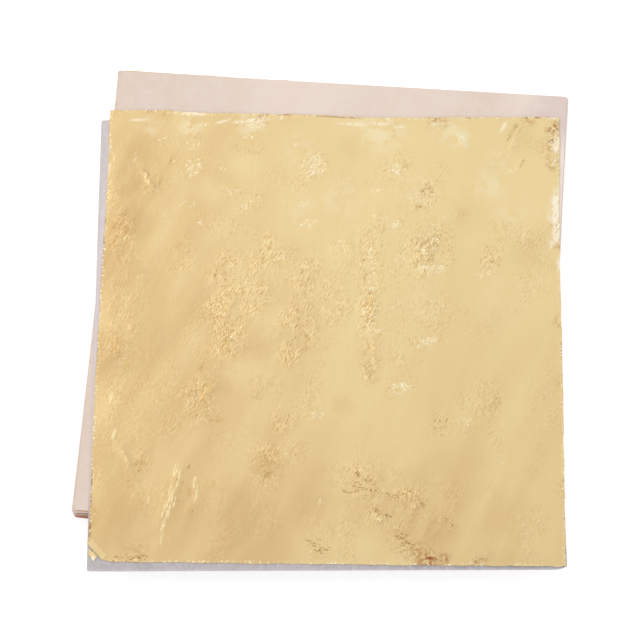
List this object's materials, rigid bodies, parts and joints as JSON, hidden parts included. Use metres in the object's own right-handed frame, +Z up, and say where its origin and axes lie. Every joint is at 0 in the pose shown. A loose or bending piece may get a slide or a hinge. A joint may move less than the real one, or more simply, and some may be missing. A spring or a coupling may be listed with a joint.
{
  "type": "imitation gold leaf pack",
  "caption": "Loose square pack of imitation gold leaf interleaved with tissue, its uppermost leaf lying bare and turned on its own tissue.",
  "frame": {"origin": "middle of the pile's underside, where it lies on a table", "axes": "+Z up through the pile; X and Y along the pile's sides, with -Y the side over which the top leaf hangs furthest"},
  "size_m": [0.1479, 0.1575, 0.0101],
  "materials": {
    "metal_leaf": "satin",
    "pile_tissue": "matte",
    "bare_tissue": "matte"
  },
  "bodies": {
    "pile_base": {"pile_tissue_01": "pile_tissue", "pile_leaf_01": "metal_leaf"},
    "pile_pair_02": {"pile_tissue_02": "pile_tissue", "pile_leaf_02": "metal_leaf"},
    "pile_pair_03": {"pile_tissue_03": "pile_tissue", "pile_leaf_03": "metal_leaf"},
    "pile_pair_04": {"pile_tissue_04": "pile_tissue", "pile_leaf_04": "metal_leaf"},
    "pile_pair_05": {"pile_tissue_05": "pile_tissue", "pile_leaf_05": "metal_leaf"},
    "pile_pair_06": {"pile_tissue_06": "pile_tissue", "pile_leaf_06": "metal_leaf"},
    "pile_pair_07": {"pile_tissue_07": "pile_tissue", "pile_leaf_07": "metal_leaf"},
    "pile_pair_08": {"pile_tissue_08": "pile_tissue", "pile_leaf_08": "metal_leaf"},
    "pile_pair_09": {"pile_tissue_09": "pile_tissue", "pile_leaf_09": "metal_leaf"},
    "pile_pair_10": {"pile_tissue_10": "pile_tissue", "pile_leaf_10": "metal_leaf"},
    "pile_pair_11": {"pile_tissue_11": "pile_tissue", "pile_leaf_11": "metal_leaf"},
    "pile_pair_12": {"pile_tissue_12": "pile_tissue", "pile_leaf_12": "metal_leaf"},
    "pile_pair_13": {"pile_tissue_13": "pile_tissue", "pile_leaf_13": "metal_leaf"},
    "pile_pair_14": {"pile_tissue_14": "pile_tissue", "pile_leaf_14": "metal_leaf"},
    "pile_pair_15": {"pile_tissue_15": "pile_tissue", "pile_leaf_15": "metal_leaf"},
    "pile_pair_16": {"pile_tissue_16": "pile_tissue", "pile_leaf_16": "metal_leaf"},
    "pile_pair_17": {"pile_tissue_17": "pile_tissue", "pile_leaf_17": "metal_leaf"},
    "pile_pair_18": {"pile_tissue_18": "pile_tissue", "pile_leaf_18": "metal_leaf"},
    "pile_pair_19": {"pile_tissue_19": "pile_tissue", "pile_leaf_19": "metal_leaf"},
    "pile_pair_20": {"pile_tissue_20": "pile_tissue", "pile_leaf_20": "metal_leaf"},
    "pile_pair_21": {"pile_tissue_21": "pile_tissue", "pile_leaf_21": "metal_leaf"},
    "pile_pair_22": {"pile_tissue_22": "pile_tissue", "pile_leaf_22": "metal_leaf"},
    "pile_pair_23": {"pile_tissue_23": "pile_tissue", "pile_leaf_23": "metal_leaf"},
    "pile_pair_24": {"pile_tissue_24": "pile_tissue", "pile_leaf_24": "metal_leaf"},
    "pile_cover": {"pile_tissue_25": "pile_tissue"},
    "loose_tissue": {"top_tissue": "bare_tissue"},
    "loose_leaf": {"top_leaf": "metal_leaf"}
  },
  "joints": [
    {"name": "fan_pair_02", "type": "hinge", "parent": "pile_base", "child": "pile_pair_02", "pos_m": [0.06, 0.06, 0.00038], "axis": [0, 0, 1], "range_deg": [0, 2.5]},
    {"name": "fan_pair_03", "type": "hinge", "parent": "pile_pair_02", "child": "pile_pair_03", "pos_m": [0.06, 0.06, 0.00077], "axis": [0, 0, 1], "range_deg": [0, 2.5]},
    {"name": "fan_pair_04", "type": "hinge", "parent": "pile_pair_03", "child": "pile_pair_04", "pos_m": [0.06, 0.06, 0.00115], "axis": [0, 0, 1], "range_deg": [0, 2.5]},
    {"name": "fan_pair_05", "type": "hinge", "parent": "pile_pair_04", "child": "pile_pair_05", "pos_m": [0.06, 0.06, 0.00154], "axis": [0, 0, 1], "range_deg": [0, 2.5]},
    {"name": "fan_pair_06", "type": "hinge", "parent": "pile_pair_05", "child": "pile_pair_06", "pos_m": [0.06, 0.06, 0.00193], "axis": [0, 0, 1], "range_deg": [0, 2.5]},
    {"name": "fan_pair_07", "type": "hinge", "parent": "pile_pair_06", "child": "pile_pair_07", "pos_m": [0.06, 0.06, 0.00231], "axis": [0, 0, 1], "range_deg": [0, 2.5]},
    {"name": "fan_pair_08", "type": "hinge", "parent": "pile_pair_07", "child": "pile_pair_08", "pos_m": [0.06, 0.06, 0.00269], "axis": [0, 0, 1], "range_deg": [0, 2.5]},
    {"name": "fan_pair_09", "type": "hinge", "parent": "pile_pair_08", "child": "pile_pair_09", "pos_m": [0.06, 0.06, 0.00308], "axis": [0, 0, 1], "range_deg": [0, 2.5]},
    {"name": "fan_pair_10", "type": "hinge", "parent": "pile_pair_09", "child": "pile_pair_10", "pos_m": [0.06, 0.06, 0.00347], "axis": [0, 0, 1], "range_deg": [0, 2.5]},
    {"name": "fan_pair_11", "type": "hinge", "parent": "pile_pair_10", "child": "pile_pair_11", "pos_m": [0.06, 0.06, 0.00385], "axis": [0, 0, 1], "range_deg": [0, 2.5]},
    {"name": "fan_pair_12", "type": "hinge", "parent": "pile_pair_11", "child": "pile_pair_12", "pos_m": [0.06, 0.06, 0.00424], "axis": [0, 0, 1], "range_deg": [0, 2.5]},
    {"name": "fan_pair_13", "type": "hinge", "parent": "pile_pair_12", "child": "pile_pair_13", "pos_m": [0.06, 0.06, 0.00462], "axis": [0, 0, 1], "range_deg": [0, 2.5]},
    {"name": "fan_pair_14", "type": "hinge", "parent": "pile_pair_13", "child": "pile_pair_14", "pos_m": [0.06, 0.06, 0.005], "axis": [0, 0, 1], "range_deg": [0, 2.5]},
    {"name": "fan_pair_15", "type": "hinge", "parent": "pile_pair_14", "child": "pile_pair_15", "pos_m": [0.06, 0.06, 0.00539], "axis": [0, 0, 1], "range_deg": [0, 2.5]},
    {"name": "fan_pair_16", "type": "hinge", "parent": "pile_pair_15", "child": "pile_pair_16", "pos_m": [0.06, 0.06, 0.00577], "axis": [0, 0, 1], "range_deg": [0, 2.5]},
    {"name": "fan_pair_17", "type": "hinge", "parent": "pile_pair_16", "child": "pile_pair_17", "pos_m": [0.06, 0.06, 0.00616], "axis": [0, 0, 1], "range_deg": [0, 2.5]},
    {"name": "fan_pair_18", "type": "hinge", "parent": "pile_pair_17", "child": "pile_pair_18", "pos_m": [0.06, 0.06, 0.00654], "axis": [0, 0, 1], "range_deg": [0, 2.5]},
    {"name": "fan_pair_19", "type": "hinge", "parent": "pile_pair_18", "child": "pile_pair_19", "pos_m": [0.06, 0.06, 0.00693], "axis": [0, 0, 1], "range_deg": [0, 2.5]},
    {"name": "fan_pair_20", "type": "hinge", "parent": "pile_pair_19", "child": "pile_pair_20", "pos_m": [0.06, 0.06, 0.00732], "axis": [0, 0, 1], "range_deg": [0, 2.5]},
    {"name": "fan_pair_21", "type": "hinge", "parent": "pile_pair_20", "child": "pile_pair_21", "pos_m": [0.06, 0.06, 0.0077], "axis": [0, 0, 1], "range_deg": [0, 2.5]},
    {"name": "fan_pair_22", "type": "hinge", "parent": "pile_pair_21", "child": "pile_pair_22", "pos_m": [0.06, 0.06, 0.00809], "axis": [0, 0, 1], "range_deg": [0, 2.5]},
    {"name": "fan_pair_23", "type": "hinge", "parent": "pile_pair_22", "child": "pile_pair_23", "pos_m": [0.06, 0.06, 0.00847], "axis": [0, 0, 1], "range_deg": [0, 2.5]},
    {"name": "fan_pair_24", "type": "hinge", "parent": "pile_pair_23", "child": "pile_pair_24", "pos_m": [0.06, 0.06, 0.00886], "axis": [0, 0, 1], "range_deg": [0, 2.5]},
    {"name": "fan_cover", "type": "hinge", "parent": "pile_pair_24", "child": "pile_cover", "pos_m": [0.06, 0.06, 0.00924], "axis": [0, 0, 1], "range_deg": [0, 2.5]},
    {"name": "lift_top_tissue", "type": "slide", "parent": "pile_cover", "child": "loose_tissue", "axis": [0, 0, 1], "range_m": [0, 0.03]},
    {"name": "lift_top_leaf", "type": "slide", "parent": "loose_tissue", "child": "loose_leaf", "axis": [0, 0, 1], "range_m": [0, 0.03]}
  ]
}
